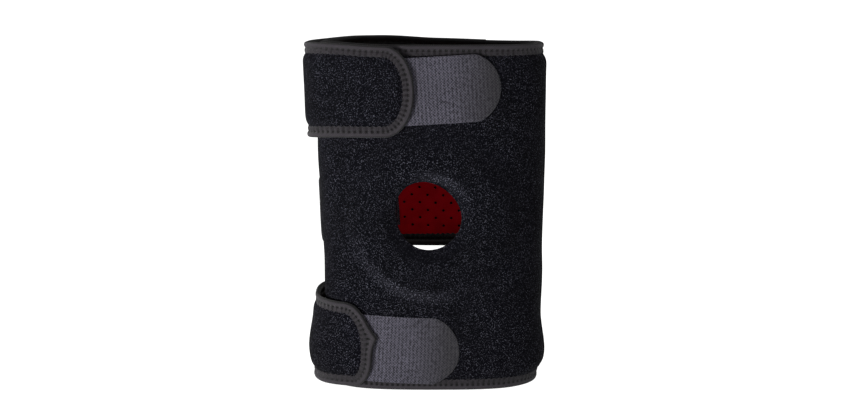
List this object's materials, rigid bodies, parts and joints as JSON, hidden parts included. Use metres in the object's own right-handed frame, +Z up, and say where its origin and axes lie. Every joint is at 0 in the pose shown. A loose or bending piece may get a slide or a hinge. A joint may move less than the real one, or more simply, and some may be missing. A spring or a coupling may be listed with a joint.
{
  "type": "knee sleeve",
  "caption": "Padded wrap-around knee sleeve with an open kneecap hole, bound edges, a perforated red lining and straps that end in woven hook tabs.",
  "frame": {"origin": "on the surface that the sleeve stands on, under the middle of its box", "axes": "+Z up along the leg, -Y the front with the kneecap hole, +X to the right as seen from the front"},
  "size_m": [0.2126, 0.1222, 0.3],
  "materials": {
    "loop_cloth": "brushed loop cloth, matt, slightly fuzzy",
    "red_lining": "smooth knit on foam with small punched holes",
    "edge_tape": "soft knitted binding tape, matt",
    "hook_weave": "finely ribbed woven back of hook tape"
  },
  "bodies": {
    "root": {"front_panel": "loop_cloth", "front_lining": "red_lining", "front_bottom_binding": "edge_tape", "front_top_binding": "edge_tape", "front_end_binding": "edge_tape", "back_panel": "loop_cloth", "back_lining": "red_lining", "back_bottom_binding": "edge_tape", "back_top_binding": "edge_tape", "upper_strap": "loop_cloth", "upper_strap_lining": "red_lining", "upper_strap_binding": "edge_tape", "upper_hook_tab": "hook_weave", "middle_strap": "loop_cloth", "middle_strap_lining": "red_lining", "middle_strap_binding": "edge_tape", "middle_hook_tab": "hook_weave", "lower_strap": "loop_cloth", "lower_strap_lining": "red_lining", "lower_strap_binding": "edge_tape", "lower_hook_tab": "hook_weave"}
  },
  "joints": []
}
